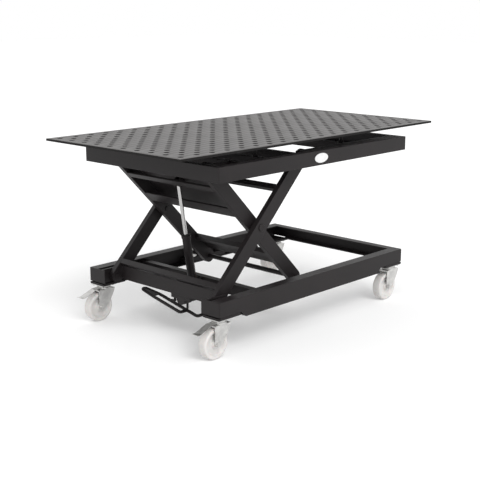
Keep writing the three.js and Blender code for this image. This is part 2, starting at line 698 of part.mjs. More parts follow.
function addCylinder(parent) {
  addCylinderFoot(parent);
  const cutEnd = FOOT_EAR_INSIDE + CUT_MARGIN;
  const eyeHole = pinY(holeRadius(EYE_PIN_RADIUS), 0, -cutEnd, cutEnd, 0);
  const barrelGroup = addGroup(parent, CYLINDER_FOOT_X, 0, CYLINDER_FOOT_Z);
  barrelGroup.rotation.y = cylinderLean;
  const glandBase = BARREL_LENGTH - GLAND_HEIGHT;
  const tube = turned([
    [0, EYE_INSET], [BARREL_RADIUS, EYE_INSET], [BARREL_RADIUS, glandBase], [GLAND_RADIUS, glandBase],
    [GLAND_RADIUS, BARREL_LENGTH], [GLAND_BORE_RADIUS, BARREL_LENGTH], [GLAND_BORE_RADIUS, glandBase],
    [BORE_RADIUS, glandBase], [BORE_RADIUS, BARREL_FLOOR], [0, BARREL_FLOOR],
  ], TURNED_SIDES);
  const footEyeEnd = FOOT_EAR_INSIDE - EYE_PLAY;
  const footEye = pinY(FOOT_EYE_RADIUS, 0, -footEyeEnd, footEyeEnd, 0);
  const barrel = cut(join(tube, footEye), eyeHole);
  addMesh(barrelGroup, 'cylinder_barrel', barrel, material.frame);

  const rodGroup = addGroup(parent, rodPin.x, 0, rodPin.y);
  rodGroup.rotation.y = cylinderLean;
  const rodBody = turned([
    [0, -ROD_LENGTH], [PISTON_RADIUS, -ROD_LENGTH], [PISTON_RADIUS, PISTON_LENGTH - ROD_LENGTH],
    [ROD_RADIUS, PISTON_LENGTH - ROD_LENGTH], [ROD_RADIUS, -EYE_INSET], [0, -EYE_INSET],
  ], TURNED_SIDES);
  const rodEyeEnd = LUG_INSIDE - EYE_PLAY;
  const rodEye = pinY(EYE_RADIUS, 0, -rodEyeEnd, rodEyeEnd, 0);
  const rod = cut(join(rodBody, rodEye), eyeHole);
  addMesh(rodGroup, 'piston_rod', rod, material.chrome);
}

// Foot pump: body on the end plate, plunger, rocking pedal of bent bar and its bearing

const PUMP_X0 = END_PLATE_X + STEEL / 2 + GAP;
const PUMP_X1 = -528;
const PUMP_Y0 = -165;
const PUMP_Y1 = -25;
const PUMP_TOP = 245;
const PUMP_FLOOR = 205;
const PUMP_LOBE = { radius: 30, length: 60, y: -95 };
const PLUNGER_X = -552;
const PLUNGER_Y = -60;
const PLUNGER_RADIUS = 6;
const PLUNGER_LENGTH = 100;
const PLUNGER_PLAY = 1.5;
const PUMP_CYLINDER_RADIUS = 22;
const PUMP_CYLINDER_BOTTOM = 172;
const PUMP_BORE_TOP = 236;
const SHELF_HEIGHT = 18;
const BEARING_X0 = -505;
const BEARING_X1 = -475;
const BEARING_HALF_WIDTH = 14;
const BEARING_TOP_HALF_WIDTH = 20;

const pedalHeight = (y) => PEDAL_PIVOT_Z + (y - PEDAL_PIVOT_Y) * Math.tan(PEDAL_ANGLE);

function addPump(parent) {
  const block = boxSpan(PUMP_X0, PUMP_X1, PUMP_Y0, PUMP_Y1, PUMP_FLOOR, PUMP_TOP);
  const cylinder = pinZ(
    PUMP_CYLINDER_RADIUS, PLUNGER_X, PLUNGER_Y, PUMP_CYLINDER_BOTTOM, PUMP_TOP - WELD, TURNED_SIDES,
  );
  const lobe = pinX(
    PUMP_LOBE.radius, PUMP_X0, PUMP_X0 + PUMP_LOBE.length, PUMP_LOBE.y, PUMP_FLOOR, TURNED_SIDES,
  );
  const shelf = boxSpan(
    PUMP_X1 - WELD, BEARING_X1,
    PEDAL_PIVOT_Y - BEARING_TOP_HALF_WIDTH, PEDAL_PIVOT_Y + BEARING_TOP_HALF_WIDTH,
    PUMP_FLOOR, PUMP_FLOOR + SHELF_HEIGHT,
  );
  const bore = pinZ(
    holeRadius(PLUNGER_RADIUS), PLUNGER_X, PLUNGER_Y, PUMP_CYLINDER_BOTTOM - CUT_MARGIN, PUMP_BORE_TOP,
  );
  addMesh(parent, 'pump_body', cut(join(block, cylinder, lobe, shelf), bore), material.frame);

  const foot = pedalHeight(PLUNGER_Y) + PEDAL_BAR_RADIUS / Math.cos(PEDAL_ANGLE) + PLUNGER_PLAY;
  const plunger = pinZ(PLUNGER_RADIUS, PLUNGER_X, PLUNGER_Y, foot, foot + PLUNGER_LENGTH);
  addMesh(parent, 'pump_plunger', plunger, material.frame);
}

const PEDAL_BACK_X = PLUNGER_X;
const PEDAL_FRONT_X = -602;
const PEDAL_TIP_X = -583;
const PEDAL_SHAFT_END_X = -470;
const PEDAL_LOOP_START = 78;
const PEDAL_REACH = 390;
const PEDAL_BEND = 11;
const PEDAL_WELD_GAP = 1;
const PEDAL_WELD_RADIUS = 7;
const TREAD_START = 292;
const TREAD_BOTTOM = -2;
const TREAD_TOP = 4;
const TIP_HALF_WIDTH = 12;
const BEARING_DROP = 14;
const BEARING_BOTTOM_HALF_WIDTH = 9;

// The pedal is one bar: a shaft along x that turns in the bearing, then a hairpin with a tread
// at its tip, its end welded to the bar's back run. The plunger stands on the bar and follows
// it down.
function addPedal(parent) {
  const pedal = addGroup(parent, 0, PEDAL_PIVOT_Y, PEDAL_PIVOT_Z);
  pedal.rotation.x = PEDAL_ANGLE;
  const loopEnd = PEDAL_BACK_X - PEDAL_BAR_RADIUS - PEDAL_WELD_GAP;
  const hairpin = bentBar([
    [PEDAL_SHAFT_END_X, 0], [PEDAL_BACK_X, 0], [PEDAL_BACK_X, TREAD_START],
    [PEDAL_TIP_X + TIP_HALF_WIDTH, PEDAL_REACH], [PEDAL_TIP_X - TIP_HALF_WIDTH, PEDAL_REACH],
    [PEDAL_FRONT_X, TREAD_START], [PEDAL_FRONT_X, PEDAL_LOOP_START], [loopEnd, PEDAL_LOOP_START],
  ], PEDAL_BAR_RADIUS, PEDAL_BEND);
  const weld = pinX(
    PEDAL_WELD_RADIUS, loopEnd - PEDAL_BAR_RADIUS, PEDAL_BACK_X, PEDAL_LOOP_START, 0, SMALL_PIN_SIDES,
  );
  const tread = prismZ(outline([
    [PEDAL_BACK_X, TREAD_START], [PEDAL_TIP_X + TIP_HALF_WIDTH, PEDAL_REACH],
    [PEDAL_TIP_X - TIP_HALF_WIDTH, PEDAL_REACH], [PEDAL_FRONT_X, TREAD_START],
  ]), TREAD_BOTTOM, TREAD_TOP);
  addMesh(pedal, 'pump_pedal', join(hairpin, weld, tread), material.frame);

  const y = PEDAL_PIVOT_Y;
  const z = PEDAL_PIVOT_Z;
  const top = PUMP_FLOOR - GAP;
  const hanger = prismX(outline([
    [y - BEARING_TOP_HALF_WIDTH, top], [y - BEARING_HALF_WIDTH, z],
    [y - BEARING_BOTTOM_HALF_WIDTH, z - BEARING_DROP], [y + BEARING_BOTTOM_HALF_WIDTH, z - BEARING_DROP],
    [y + BEARING_HALF_WIDTH, z], [y + BEARING_TOP_HALF_WIDTH, top],
  ]), BEARING_X0, BEARING_X1);
  const hole = pinX(holeRadius(PEDAL_BAR_RADIUS), BEARING_X0 - CUT_MARGIN, BEARING_X1 + CUT_MARGIN, y, z);
  addMesh(parent, 'pedal_bearing', cut(hanger, hole), material.frame);
}

const VALVE_X = -590;
const VALVE_Z = 224;
const VALVE_STEM_RADIUS = 6;
const VALVE_STEM_LENGTH = 22;
const LEVER_HALF_WIDTH = 7;
const LEVER_BOTTOM = 166;
const LEVER_THICKNESS = 6;
const LEVER_TOE_LENGTH = 30;

// The lowering valve is a short lever with a toe, on the side of the pump
function addReleaseLever(parent) {
  const y0 = PUMP_Y1 + GAP;
  const y1 = y0 + VALVE_STEM_LENGTH;
  const left = VALVE_X - LEVER_HALF_WIDTH;
  const right = VALVE_X + LEVER_HALF_WIDTH;
  const stem = pinY(VALVE_STEM_RADIUS, VALVE_X, y0, y1, VALVE_Z, SMALL_PIN_SIDES);
  const arm = boxSpan(left, right, y1 - LEVER_THICKNESS, y1, LEVER_BOTTOM, VALVE_Z + VALVE_STEM_RADIUS);
  const toe = boxSpan(
    left, right, y1 - WELD, y1 + LEVER_TOE_LENGTH, LEVER_BOTTOM, LEVER_BOTTOM + LEVER_THICKNESS,
  );
  addMesh(parent, 'release_lever', join(stem, arm, toe), material.frame);
}

// Casters: plate on the pad, fork with its axle, wheel, and a brake at the pump end

const PLATE_TOP = PAD_TOP - PAD_THICKNESS - GAP;
const PLATE_THICKNESS = 5;
const PLATE_LENGTH = 100;
const PLATE_WIDTH = 90;
const FORK_INSIDE = 30.5;
const FORK_THICKNESS = 4;
const FORK_TOP = 175;
const FORK_TOE = -60;
const FORK_HEEL = 48;
const CROWN_THICKNESS = 6;
const NECK_RADIUS = 31;
const NECK_SIDES = 24;
const AXLE_RADIUS = 6;
const AXLE_NUT = { radius: 11, height: 7, sides: 6 };

// The fork's cheek: straight from crown to axle at the toe, bellied at the heel, and round
// below the axle. Distances are from the swivel axis and from the floor or the axle.
const CHEEK_HEEL = [[44, 158], [20, 114]];
const CHEEK_ROUND = [[17, -12], [0, -18], [-15, -12], [-19, 4]];

function forkGeometry() {
  const side = outline([
    [FORK_TOE, FORK_TOP], [FORK_HEEL, FORK_TOP], ...CHEEK_HEEL,
    ...CHEEK_ROUND.map(([x, z]) => [x - CASTER_TRAIL, z + WHEEL_AXLE_Z]),
  ]);
  const outside = FORK_INSIDE + FORK_THICKNESS;
  const axleEnd = outside + AXLE_NUT.height - WELD;
  const crown = boxSpan(FORK_TOE, FORK_HEEL, -outside, outside, FORK_TOP - CROWN_THICKNESS, FORK_TOP);
  const neck = pinZ(NECK_RADIUS, 0, 0, FORK_TOP - WELD, PLATE_TOP - PLATE_THICKNESS - GAP, NECK_SIDES);
  const axle = pinY(AXLE_RADIUS, -CASTER_TRAIL, -axleEnd, axleEnd, WHEEL_AXLE_Z, SMALL_PIN_SIDES);
  const cheeks = SIDES.map(({ sign }) => prismY(side, sign * FORK_INSIDE, sign * outside));
  const nuts = SIDES.map(({ sign }) => pinY(
    AXLE_NUT.radius, -CASTER_TRAIL, sign * (outside - WELD), sign * (outside + AXLE_NUT.height),
    WHEEL_AXLE_Z, AXLE_NUT.sides,
  ));
  return join(crown, neck, axle, ...cheeks, ...nuts);
}

// Half of a wheel's section from hub to tread: radius, and how far inside the wheel's side
const HUB_RADIUS = 20;
const HUB_OVERHANG = 2;
const RIM_SECTION = [[HUB_RADIUS, -HUB_OVERHANG], [24, 6], [60, 6], [64, 0], [76, 0], [WHEEL_RADIUS, 5]];
const WHEEL_PLAY = 0.2;

function wheelGeometry() {
  const half = WHEEL_WIDTH / 2;
  const bore = holeRadius(AXLE_RADIUS, SMALL_PIN_SIDES) + WHEEL_PLAY;
  const section = [[bore, -HUB_OVERHANG], ...RIM_SECTION];
  const near = section.map(([radius, inset]) => new THREE.Vector2(radius, inset - half));
  const far = section.map(([radius, inset]) => new THREE.Vector2(radius, half - inset)).reverse();
  return new THREE.LatheGeometry([...near, ...far, near[0].clone()], WHEEL_SIDES, Math.PI / WHEEL_SIDES);
}

// The brake lever is a bent strip over the wheel, with its toe past the tread: distances from
// the swivel axis and heights of its underside, and how thick it is there
const BRAKE_BENDS = [[-34, 178.5], [-67, 178], [-112.5, 160], [-150, 146], [-170, 150]];
const BRAKE_THICKNESS = 5;
const BRAKE_WIDTH = 44;

function brakeGeometry() {
  const upper = BRAKE_BENDS.map(([x, z]) => [x, z + BRAKE_THICKNESS]).reverse();
  return prismY(outline([...BRAKE_BENDS, ...upper]), -BRAKE_WIDTH / 2, BRAKE_WIDTH / 2);
}

function addCasters(parent) {
  const ends = [{ label: 'pump', end: -1, brake: true }, { label: 'free', end: 1, brake: false }];
  for (const { label, end, brake } of ends) {
    for (const { label: side, sign } of SIDES) {
      const name = `${label}_${side}`;
      const caster = addGroup(parent, end * CASTER_X, sign * CASTER_Y, 0);
      const plate = boxSpan(
        -PLATE_LENGTH / 2, PLATE_LENGTH / 2, -PLATE_WIDTH / 2, PLATE_WIDTH / 2,
        PLATE_TOP - PLATE_THICKNESS, PLATE_TOP,
      );
      addMesh(caster, `caster_plate_${name}`, plate, material.zinc);
      addMesh(caster, `caster_fork_${name}`, forkGeometry(), material.zinc);
      const axle = addGroup(caster, -CASTER_TRAIL, 0, WHEEL_AXLE_Z);
      addMesh(axle, `caster_wheel_${name}`, wheelGeometry(), material.nylon);
      if (brake) {
        addMesh(caster, `caster_brake_${name}`, brakeGeometry(), material.zinc);
      }
    }
  }
}

const table = new THREE.Group();
addLowerFrame(table);
addCrossBeam(table);
addOuterLegs(table);
addInnerLegs(table);
addRollers(table);
addUpperFrame(table);
addCrossMembers(table);
addDeckBrackets(table);
addTop(table);
addBadge(table);
addCylinder(table);
addPump(table);
addPedal(table);
addReleaseLever(table);
addCasters(table);

export default table;
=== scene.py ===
"""The looks of a mobile scissor-lift assembly table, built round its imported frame. Metres, +Z up."""

import json
import math

import bmesh
import bpy
from mathutils import Matrix, Vector


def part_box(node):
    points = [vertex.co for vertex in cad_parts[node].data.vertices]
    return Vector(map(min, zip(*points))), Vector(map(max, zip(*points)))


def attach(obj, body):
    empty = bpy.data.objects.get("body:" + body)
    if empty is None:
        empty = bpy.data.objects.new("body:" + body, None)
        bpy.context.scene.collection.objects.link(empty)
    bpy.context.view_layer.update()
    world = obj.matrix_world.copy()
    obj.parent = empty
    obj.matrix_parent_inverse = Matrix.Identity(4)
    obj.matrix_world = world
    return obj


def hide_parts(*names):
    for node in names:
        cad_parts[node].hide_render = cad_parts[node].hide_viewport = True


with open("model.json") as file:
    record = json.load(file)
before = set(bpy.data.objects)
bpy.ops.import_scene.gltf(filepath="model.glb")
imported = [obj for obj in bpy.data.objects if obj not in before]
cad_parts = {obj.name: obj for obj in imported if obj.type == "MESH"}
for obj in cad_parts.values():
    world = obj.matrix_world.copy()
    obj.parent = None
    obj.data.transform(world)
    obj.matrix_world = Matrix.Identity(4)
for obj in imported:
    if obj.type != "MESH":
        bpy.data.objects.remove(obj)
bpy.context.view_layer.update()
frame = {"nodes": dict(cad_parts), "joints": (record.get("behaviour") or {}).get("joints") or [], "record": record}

MM = 0.001
JOINTS = {joint["name"]: joint for joint in frame["joints"]}
SLOT_OF = {part["node"]: part["material_slot"] for part in frame["record"]["subparts"]}
CORNERS = ("pump_front", "pump_rear", "free_front", "free_rear")
BRAKED = ("pump_front", "pump_rear")
SIDES = {"front": -1, "rear": 1}

# Table top
HOLE_DIAMETER = 28 * MM
HOLE_STEP = 50 * MM
HOLE_MARGIN = 50 * MM
HOLE_CHAMFER = 0.9 * MM
HOLE_SEGMENTS = 24
MERGE_DISTANCE = 0.01 * MM
FACES_UP = 0.9

# Hydraulic cylinder, measured from the eye at its foot and from the eye of the rod
BARREL_RADIUS = 22 * MM
BARREL_LENGTH = 313 * MM
GLAND_RADIUS = 25 * MM
GLAND_HEIGHT = 16 * MM
ROD_RADIUS = 10 * MM
ROD_LENGTH = 322 * MM
ROD_EYE_RADIUS = 18 * MM
BARREL_EYE_RADIUS = 20 * MM
EYE_HOLE_RADIUS = 8.5 * MM
BARREL_EYE_HALF_WIDTH = 23 * MM
ROD_EYE_HALF_WIDTH = 12 * MM
TUBE_START = 15 * MM
TUBE_CHAMFER = 4 * MM
TUBE_START_SHARE = 0.9
EDGE = 1 * MM
GLAND_EDGE = 2 * MM
BORE_FLOOR = 17 * MM
BORE_CLEARANCE = 4.5 * MM
ROD_TOP = 14 * MM
SEAL_INSIDE = 3 * MM
SEAL_OUTSIDE = 7 * MM
SEAL_SHOULDER = 2.4 * MM
SEAL_HEIGHT = 2.8 * MM

# Feed pipe, measured from the barrel's wall and along its axis
PIPE_RADIUS = 3 * MM
PIPE_STANDOFF = 6 * MM
PIPE_LOW = 52 * MM
PIPE_HIGH = 150 * MM
PIPE_BEND = 5 * MM
PIPE_ENTRY = 0.9
UNION_ACROSS = 11 * MM
UNION_LENGTH = 6 * MM
UNION_SINK = 2 * MM

# Foot pedal, in the plane that is tipped about its pivot
PEDAL_TILT = math.radians(12)
PEDAL_BAR_RADIUS = 8.5 * MM
PEDAL_BACK_X = -552 * MM
PEDAL_FRONT_X = -602 * MM
PEDAL_TIP_X = -583 * MM
PEDAL_SHAFT_END_X = -470 * MM
PEDAL_REACH = 390 * MM
PEDAL_LOOP_START = 78 * MM
TREAD_START = 292 * MM
TIP_HALF_WIDTH = 12 * MM
TREAD_INSET = 4 * MM
TREAD_BOTTOM = -2 * MM
TREAD_TOP = 4 * MM
PEDAL_BEND = 14 * MM

# Outer faces of the scissor's outer legs and of the brackets that hold them
OUTER_LEG_FACE = 391.6 * MM
BRACKET_FACE = 405.6 * MM

# Caps on the scissor's pins
CAP_RADIUS = 20 * MM
CAP_HEIGHT = 4.5 * MM
CAP_DISH_RADIUS = 9 * MM
CAP_DISH_DEPTH = 1 * MM
CAP_CHAMFER = 1.5 * MM

# Nuts at the foot of the levelling posts
POST_Y = (-350 * MM, 0, 350 * MM)
POST_NUT_ACROSS = 24 * MM
POST_NUT_HEIGHT = 11 * MM
POST_NUT_GAP = 0.1 * MM

# Lip on the end plate
LIP_THICKNESS = 4 * MM
LIP_HEIGHT = 3.5 * MM
LIP_OVERLAP = 2 * MM

# Casters
# Pairs of radius and distance from the wheel's middle, in mm, from the hub over the dish to the rim
WHEEL_SIDE = (
    (7.2, 27), (18, 27), (20.5, 24.5), (23, 14), (26, 12), (53, 12), (56, 14), (60, 23), (63, 25),
)
# The same for the rounded tread, with the depth below its crown in place of the radius
WHEEL_TREAD = ((7, 25), (3.2, 23.4), (0.8, 20), (0, 15))
NUT_SPACING_X = 39 * MM
NUT_SPACING_Y = 34 * MM
PLATE_NUT_ACROSS = 13 * MM
PLATE_NUT_HEIGHT = 6.5 * MM
PLATE_NUT_SINK = 0.05 * MM
RACE_BOTTOM = 175 * MM
# Pairs of radius and height above the bottom of the race, in mm
RACE_PROFILE = ((31.5, 0), (38, 0), (39, 2), (38, 8), (35, 10), (36.5, 12), (37, 17), (35, 19), (31.5, 19))

# Brake levers: the line of the sheet, in mm along X from the swivel axis and above the floor
BRAKE_LINE = ((-34, 181), (-67, 180.6), (-112, 162.4), (-150, 148.6), (-169, 152.6))
BRAKE_BEND = 12 * MM
BRAKE_HALF_WIDTH = 22 * MM
BRAKE_SHEET = 2.2 * MM
BRAKE_EDGE_DROP = 1.2 * MM
BRAKE_UNDERSIDE = 0.93

# Badge: steps of inset from the rim, in mm, and share of its depth
BADGE_STEPS = ((0, 0), (0, 0.75), (1.2, 1.0), (3.4, 1.0), (4.2, 0.7))
BADGE_SEGMENTS = 72

# Turns a flat outline in u and v, drawn to the height w, into x = u, y = w and z = v
ALONG_Y = Matrix(((1, 0, 0, 0), (0, 0, 1, 0), (0, 1, 0, 0), (0, 0, 0, 1)))


# Materials

def new_material(name, roughness, metallic=0.0, coat=0.0):
    """An empty principled material with the object's own coordinates to hang textures on."""
    material = bpy.data.materials.new(name)
    material.use_nodes = True
    nodes = material.node_tree.nodes
    shader = nodes["Principled BSDF"]
    shader.inputs["Roughness"].default_value = roughness
    shader.inputs["Metallic"].default_value = metallic
    shader.inputs["Coat Weight"].default_value = coat
    place = nodes.new("ShaderNodeTexCoord").outputs["Object"]
    return material, shader, place


def add_noise(material, place, scale, detail=4.0, stretch=(1, 1, 1)):
    tree = material.node_tree
    mapping = tree.nodes.new("ShaderNodeMapping")
    mapping.inputs["Scale"].default_value = stretch
    noise = tree.nodes.new("ShaderNodeTexNoise")
    noise.inputs["Scale"].default_value = scale
    noise.inputs["Detail"].default_value = detail
    tree.links.new(place, mapping.inputs["Vector"])
    tree.links.new(mapping.outputs["Vector"], noise.inputs["Vector"])
    return noise.outputs["Fac"]


def add_ramp(material, value, low, high, start=0.35, end=0.65):
    """A colour that runs from low to high as the value goes from start to end."""
    ramp = material.node_tree.nodes.new("ShaderNodeValToRGB")
    ramp.color_ramp.elements[0].position = start
    ramp.color_ramp.elements[1].position = end
    ramp.color_ramp.elements[0].color = (*low, 1)
    ramp.color_ramp.elements[1].color = (*high, 1)
    material.node_tree.links.new(value, ramp.inputs["Fac"])
    return ramp.outputs["Color"]


def add_range(material, value, low, high):
    node = material.node_tree.nodes.new("ShaderNodeMapRange")
    node.inputs["From Min"].default_value = 0.3
    node.inputs["From Max"].default_value = 0.7
    node.inputs["To Min"].default_value = low
    node.inputs["To Max"].default_value = high
    material.node_tree.links.new(value, node.inputs["Value"])
    return node.outputs["Result"]


def add_bump(material, shader, height, strength, distance):
    bump = material.node_tree.nodes.new("ShaderNodeBump")
    bump.inputs["Strength"].default_value = strength
    bump.inputs["Distance"].default_value = distance
    material.node_tree.links.new(height, bump.inputs["Height"])
    material.node_tree.links.new(bump.outputs["Normal"], shader.inputs["Normal"])


def link(material, value, socket):
    material.node_tree.links.new(value, socket)


def powder_coat():
    """Satin black powder coat: fine orange peel, with slightly greyer and duller patches."""
    material, shader, place = new_material("powder_coat", 0.45)
    shader.inputs["Specular IOR Level"].default_value = 0.22
    patches = add_noise(material, place, 5, 3)
    link(material, add_ramp(material, patches, (0.0105, 0.0086, 0.009), (0.0155, 0.0128, 0.0134)),
         shader.inputs["Base Color"])
    link(material, add_range(material, patches, 0.4, 0.5), shader.inputs["Roughness"])
    add_bump(material, shader, add_noise(material, place, 700, 2), 0.12, 0.0004)
    return material


def blued_steel():
    """The top's ground and blued steel: long grinding marks with cloudy stains over them."""
    material, shader, place = new_material("blued_steel", 0.5, metallic=0.35)
    clouds = add_noise(material, place, 6, 6)
    marks = add_noise(material, place, 60, 3, (0.12, 6, 1))
    link(material, add_ramp(material, clouds, (0.084, 0.08, 0.079), (0.106, 0.101, 0.099)),
         shader.inputs["Base Color"])
    link(material, add_range(material, marks, 0.42, 0.56), shader.inputs["Roughness"])
    add_bump(material, shader, marks, 0.1, 0.0002)
    return material


def painted_hole_shade():
    """Near-black painted shade on the top's edges, underside and hole walls, so the holes read dark, with a little
    random tone.
    """
    material, shader, place = new_material("painted_hole_shade", 0.6)
    shader.inputs["Specular IOR Level"].default_value = 0.15
    scale = add_noise(material, place, 60, 4)
    link(material, add_ramp(material, scale, (0.006, 0.0052, 0.0052), (0.01, 0.009, 0.009)),
         shader.inputs["Base Color"])
    return material


def zinc_plate():
    """Bright zinc plate, with the faint grain of pressed sheet."""
    material, shader, place = new_material("zinc_plate", 0.36, metallic=0.85)
    grain = add_noise(material, place, 45, 4)
    link(material, add_ramp(material, grain, (0.5, 0.495, 0.485), (0.64, 0.635, 0.62)),
         shader.inputs["Base Color"])
    link(material, add_range(material, grain, 0.3, 0.42), shader.inputs["Roughness"])
    add_bump(material, shader, add_noise(material, place, 500, 2), 0.06, 0.0003)
    return material


def chrome():
    """The ground and chromed rod, with hair lines round it."""
    material, shader, place = new_material("chrome", 0.14, metallic=1.0)
    lines = add_noise(material, place, 90, 3, (1, 1, 12))
    link(material, add_ramp(material, lines, (0.4, 0.395, 0.39), (0.52, 0.515, 0.51)),
         shader.inputs["Base Color"])
    link(material, add_range(material, lines, 0.1, 0.2), shader.inputs["Roughness"])
    return material


def white_nylon():
    """Moulded nylon, a little mottled."""
    material, shader, place = new_material("white_nylon", 0.45)
    shader.inputs["Subsurface Weight"].default_value = 0.05
    mottle = add_noise(material, place, 30, 5)
    link(material, add_ramp(material, mottle, (0.58, 0.565, 0.55), (0.64, 0.625, 0.61)),
         shader.inputs["Base Color"])
    link(material, add_range(material, mottle, 0.4, 0.52), shader.inputs["Roughness"])
    add_bump(material, shader, add_noise(material, place, 400, 3), 0.1, 0.0003)
    return material


def badge_enamel():
    """Plain white enamel of the bare badge, faintly uneven."""
    material, shader, place = new_material("badge_enamel", 0.3, coat=0.3)
    tone = add_noise(material, place, 40, 3)
    link(material, add_ramp(material, tone, (0.68, 0.68, 0.68), (0.74, 0.74, 0.74)),
         shader.inputs["Base Color"])
    return material


def oiled_copper():
    """The brown pipe beside the cylinder."""
    material, shader, place = new_material("oiled_copper", 0.4, metallic=0.6)
    tone = add_noise(material, place, 80, 4)
    link(material, add_ramp(material, tone, (0.07, 0.045, 0.03), (0.11, 0.07, 0.05)),
         shader.inputs["Base Color"])
    return material


def seal_rubber():
    """Dull black rubber of the wiper seal."""
    material, shader, place = new_material("seal_rubber", 0.7)
    tone = add_noise(material, place, 120, 3)
    link(material, add_ramp(material, tone, (0.01, 0.01, 0.01), (0.02, 0.02, 0.02)),
         shader.inputs["Base Color"])
    return material


LOOK = {
    "frame_paint": powder_coat(),
    "top_steel": blued_steel(),
    "zinc": zinc_plate(),
    "chrome": chrome(),
    "wheel_nylon": white_nylon(),
    "badge": badge_enamel(),
}
# Near-black painted shade for the top's hole walls, edges and underside
HOLE_SHADE = painted_hole_shade()
COPPER = oiled_copper()
RUBBER = seal_rubber()


# Mesh builders

def shade(mesh):
    """Smooth shading, with the edges sharp where faces meet at more than 35 degrees."""
    for face in mesh.polygons:
        face.use_smooth = True
    mesh.set_sharp_from_angle(angle=math.radians(35))


def add_piece(name, bm, body, slot, replaces=None, look=None, bevel=0.0):
    """Makes a piece of the mesh, and lets it ride on the body."""
    bmesh.ops.recalc_face_normals(bm, faces=bm.faces)
    mesh = bpy.data.meshes.new(name)
    bm.to_mesh(mesh)
    bm.free()
    mesh.materials.append(look or LOOK[slot])
    shade(mesh)
    piece = bpy.data.objects.new(name, mesh)
    bpy.context.scene.collection.objects.link(piece)
    if bevel:
        add_bevel(piece, bevel)
    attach(piece, body)
    if replaces:
        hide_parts(replaces)
    return piece


def add_bevel(piece, width):
    bevel = piece.modifiers.new("edges", "BEVEL")
    bevel.width = width
    bevel.segments = 2
    bevel.limit_method = "ANGLE"
    bevel.angle_limit = math.radians(40)
    bevel.use_clamp_overlap = True
    bevel.harden_normals = False
    normals = piece.modifiers.new("normals", "WEIGHTED_NORMAL")
    normals.keep_sharp = True


def placed(origin, axis):
    """The matrix that stands +Z along the axis, at the origin."""
    stand = Vector((0, 0, 1)).rotation_difference(Vector(axis)).to_matrix().to_4x4()
    return Matrix.Translation(Vector(origin)) @ stand


def add_turned(bm, profile, matrix, segments=48):
    """A turned solid: pairs of radius and height, from axis to axis or closed on themselves."""
    rings = []
    for radius, height in profile:
        if radius == 0:
            rings.append([bm.verts.new(matrix @ Vector((0, 0, height)))])
            continue
        ring = []
        for i in range(segments):
            angle = 2 * math.pi * i / segments
            point = Vector((radius * math.cos(angle), radius * math.sin(angle), height))
            ring.append(bm.verts.new(matrix @ point))
        rings.append(ring)
    closed = len(rings[0]) > 1
    pairs = list(zip(rings, rings[1:])) + ([(rings[-1], rings[0])] if closed else [])
    for low, high in pairs:
        for i in range(segments):
            j = (i + 1) % segments
            corners = [low[i % len(low)], low[j % len(low)], high[j % len(high)], high[i % len(high)]]
            unique = list(dict.fromkeys(corners))
            if len(unique) > 2:
                bm.faces.new(unique)


def rounded_path(points, radius, steps=6):
    """The corners of a path, each rounded by an arc-like curve."""
    points = [Vector(p) for p in points]
    path = [points[0]]
    for before, corner, after in zip(points, points[1:], points[2:]):
        enter = corner + (before - corner).normalized() * radius
        leave = corner + (after - corner).normalized() * radius
        for i in range(steps + 1):
            t = i / steps
            path.append((1 - t) ** 2 * enter + 2 * t * (1 - t) * corner + t * t * leave)
    path.append(points[-1])
    return path


def add_bar(bm, path, radius, sides=16):
    """A round bar along a path, closed by slightly rounded ends."""
    tangents = []
    for i in range(len(path)):
        ahead = path[min(i + 1, len(path) - 1)]
        behind = path[max(i - 1, 0)]
        tangents.append((ahead - behind).normalized())
    side = tangents[0].orthogonal().normalized()
    rings = []
    ends = {0: -1, len(path) - 1: 1}
    for i, (point, tangent) in enumerate(zip(path, tangents)):
        side = (side - tangent * side.dot(tangent)).normalized()
        other = tangent.cross(side)
        sizes = [(radius, 0.0)]
        if i in ends:
            lip = (0.75 * radius, ends[i] * 0.25 * radius)
            sizes = [lip, (radius, 0.0)] if i == 0 else [(radius, 0.0), lip]
        for size, shift in sizes:
            ring = []
            for k in range(sides):
                angle = 2 * math.pi * k / sides
                offset = side * math.cos(angle) + other * math.sin(angle)
                ring.append(bm.verts.new(point + tangent * shift + offset * size))
            rings.append(ring)
    for low, high in zip(rings, rings[1:]):
        for k in range(sides):
            j = (k + 1) % sides
            bm.faces.new((low[k], low[j], high[j], high[k]))
    bm.faces.new(list(reversed(rings[0])))
    bm.faces.new(rings[-1])


def add_prism(bm, points, matrix, low, high):
    """A straight prism on an outline, from one height to another."""
    bottom = [bm.verts.new(matrix @ Vector((u, v, low))) for u, v in points]
    top = [bm.verts.new(matrix @ Vector((u, v, high))) for u, v in points]
    bm.faces.new(list(reversed(bottom)))
    bm.faces.new(top)
    for i in range(len(points)):
        j = (i + 1) % len(points)
        bm.faces.new((bottom[i], bottom[j], top[j], top[i]))


def hexagon(across_flats):
    radius = across_flats / math.sqrt(3)
    angles = [math.pi * i / 3 for i in range(6)]
    return [(radius * math.cos(angle), radius * math.sin(angle)) for angle in angles]


def add_hex_bolt(bm, matrix, across_flats, height):
    """A hexagon head with a washer under it and a turned crown on top."""
    washer = 0.12 * height
    washer_radius = 0.62 * across_flats
    shoulder = 0.9 * height
    crown = 0.46 * across_flats
    tip = 0.85 * crown
    segments = 24
    washer_profile = [(0, 0), (washer_radius, 0), (washer_radius, washer), (0, washer)]
    crown_profile = [(0, shoulder), (crown, shoulder), (tip, height), (0, height)]
    add_turned(bm, washer_profile, matrix, segments)
    add_prism(bm, hexagon(across_flats), matrix, washer, shoulder)
    add_turned(bm, crown_profile, matrix, segments)


# Nodes that keep their solid: welded, with their edges broken

EDGE_BREAK = {"frame_paint": 1.6 * MM, "zinc": 0.9 * MM}
ROUND_EDGES = {"outer_leg_front", "outer_leg_rear", "inner_leg_front", "inner_leg_rear"}
LEG_EDGE = 3 * MM
OTHER_EDGE = 0.5 * MM
WELD_DISTANCE = 0.02 * MM


